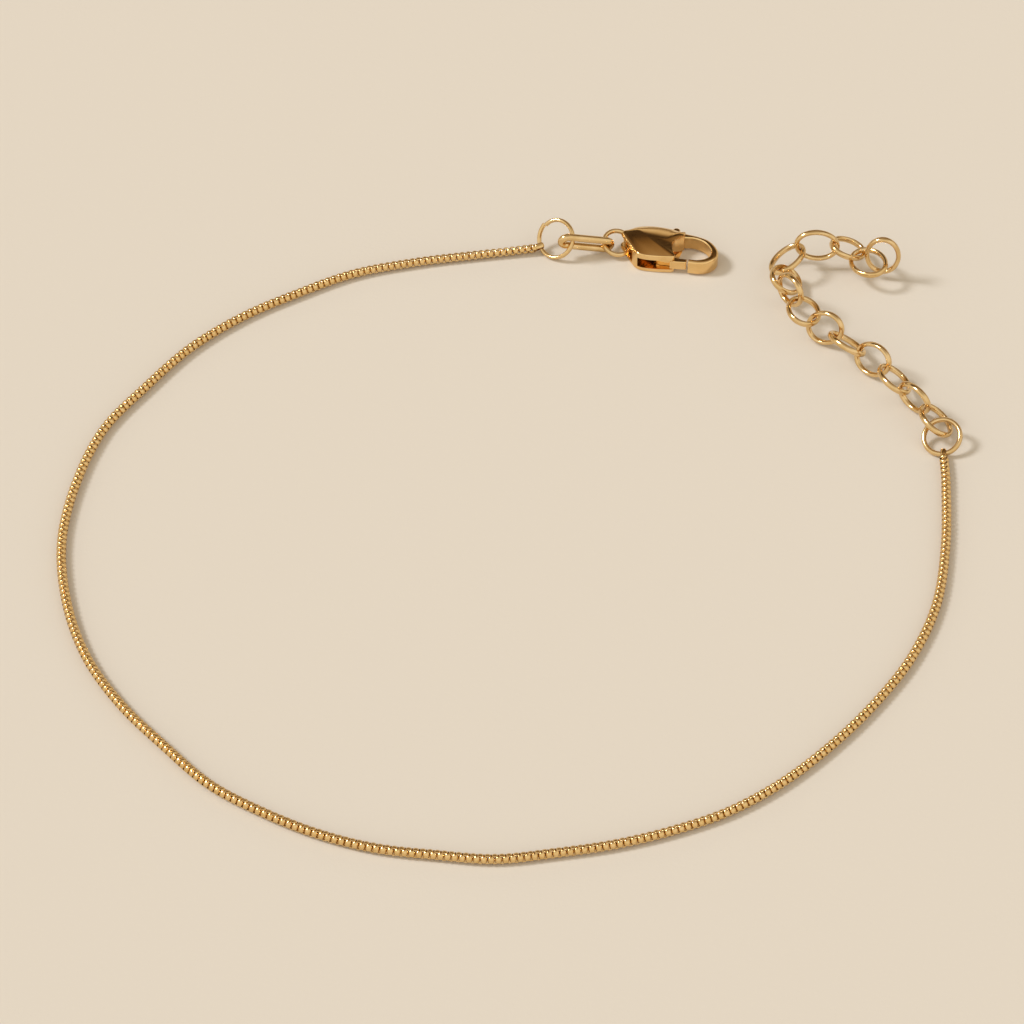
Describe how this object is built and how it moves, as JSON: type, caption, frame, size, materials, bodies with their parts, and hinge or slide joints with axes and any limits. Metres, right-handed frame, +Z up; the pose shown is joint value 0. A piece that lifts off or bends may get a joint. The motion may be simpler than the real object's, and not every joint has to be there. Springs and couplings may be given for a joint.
{
  "type": "box chain anklet",
  "caption": "Fine gold box chain anklet lying open in a loop, with a lobster clasp on jump rings and an extender of oval links.",
  "frame": {"origin": "on the surface that the anklet lies on, under the middle of its bounding box", "axes": "+Z up from the surface, +X from the box chain's left side to its right side, +Y from the chain's near side to the clasp's side"},
  "size_m": [0.0855, 0.0843, 0.0053],
  "materials": {
    "chain_gold": "polished gold plate",
    "ring_gold": "polished gold plate",
    "clasp_gold": "polished gold plate"
  },
  "bodies": {
    "anklet": {"box_chain": "chain_gold", "chain_end_link_left": "chain_gold", "chain_end_link_right": "chain_gold", "end_ring": "ring_gold", "connector_link": "ring_gold", "clasp_ring": "ring_gold", "clasp_body": "clasp_gold", "extender_ring": "ring_gold", "extender_link_01": "ring_gold", "extender_link_02": "ring_gold", "extender_link_03": "ring_gold", "extender_link_04": "ring_gold", "extender_link_05": "ring_gold", "extender_link_06": "ring_gold", "extender_link_07": "ring_gold", "extender_link_08": "ring_gold", "extender_link_09": "ring_gold", "extender_link_10": "ring_gold", "extender_link_11": "ring_gold", "extender_link_12": "ring_gold", "extender_link_13": "ring_gold", "extender_link_14": "ring_gold"},
    "lever": {"clasp_lever": "clasp_gold"}
  },
  "joints": [
    {"name": "lever_swing", "type": "hinge", "parent": "anklet", "child": "lever", "pos_m": [0.01461, 0.03809, 0.00101], "axis": [0, 0, 1], "range_deg": [0, 20], "stiffness_Nm_per_rad": 0.00001}
  ]
}
